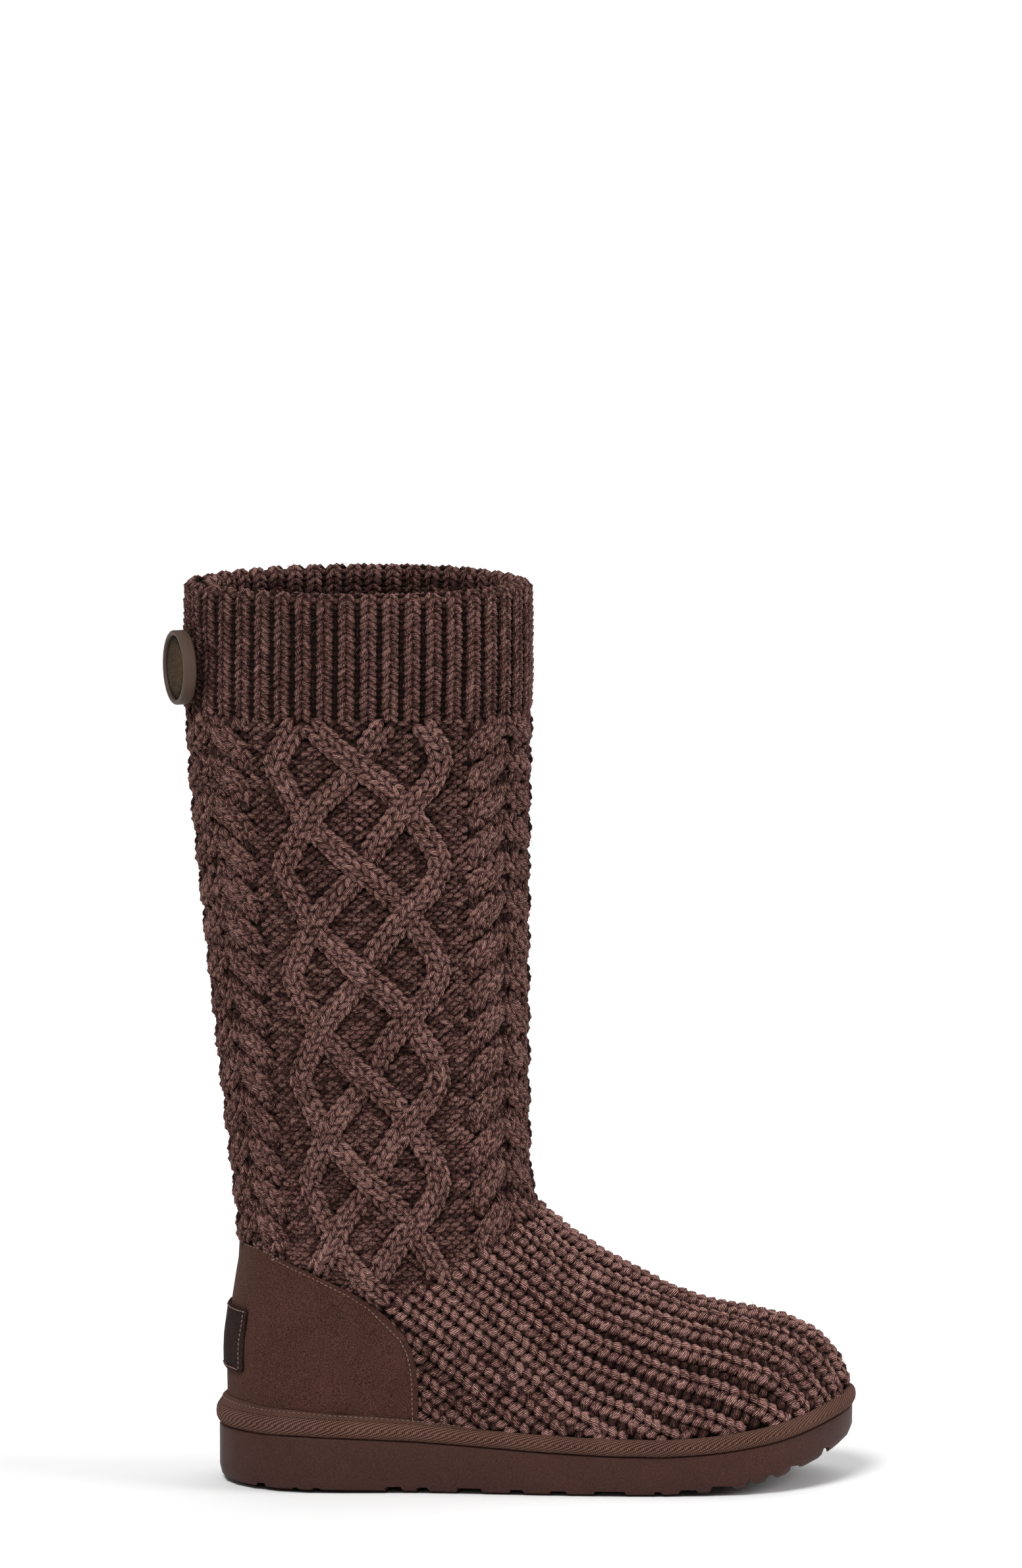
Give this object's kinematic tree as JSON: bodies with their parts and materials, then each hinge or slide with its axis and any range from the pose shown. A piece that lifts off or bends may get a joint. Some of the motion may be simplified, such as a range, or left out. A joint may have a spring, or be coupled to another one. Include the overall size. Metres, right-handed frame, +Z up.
{
  "type": "knit boot",
  "caption": "Tall cable-knit boot with a buttoned ribbed cuff, a suede heel counter, a twill binding and a moulded foam sole with lugs.",
  "frame": {"origin": "centre of the boot's box in X and Y, on the floor under its sole", "axes": "+X to the toe, +Y to the medial side, +Z up the shaft"},
  "size_m": [0.2924, 0.1032, 0.381],
  "materials": {
    "knit": "chunky cable knit in a soft brown wool blend",
    "suede": "brushed suede",
    "patch_leather": "smooth, slightly oily",
    "twill_tape": "rolled ribbed twill",
    "foam": "satin moulded foam",
    "fleece": "short pile fleece",
    "horn_plastic": "matte",
    "bronze_leather": "mottled with a dull metallic sheen"
  },
  "bodies": {
    "root": {"upper": "knit", "heel_counter": "suede", "heel_patch": "patch_leather", "welt_binding": "twill_tape", "outsole": "foam", "insole": "fleece", "button": "horn_plastic", "button_inlay": "bronze_leather"}
  },
  "joints": []
}
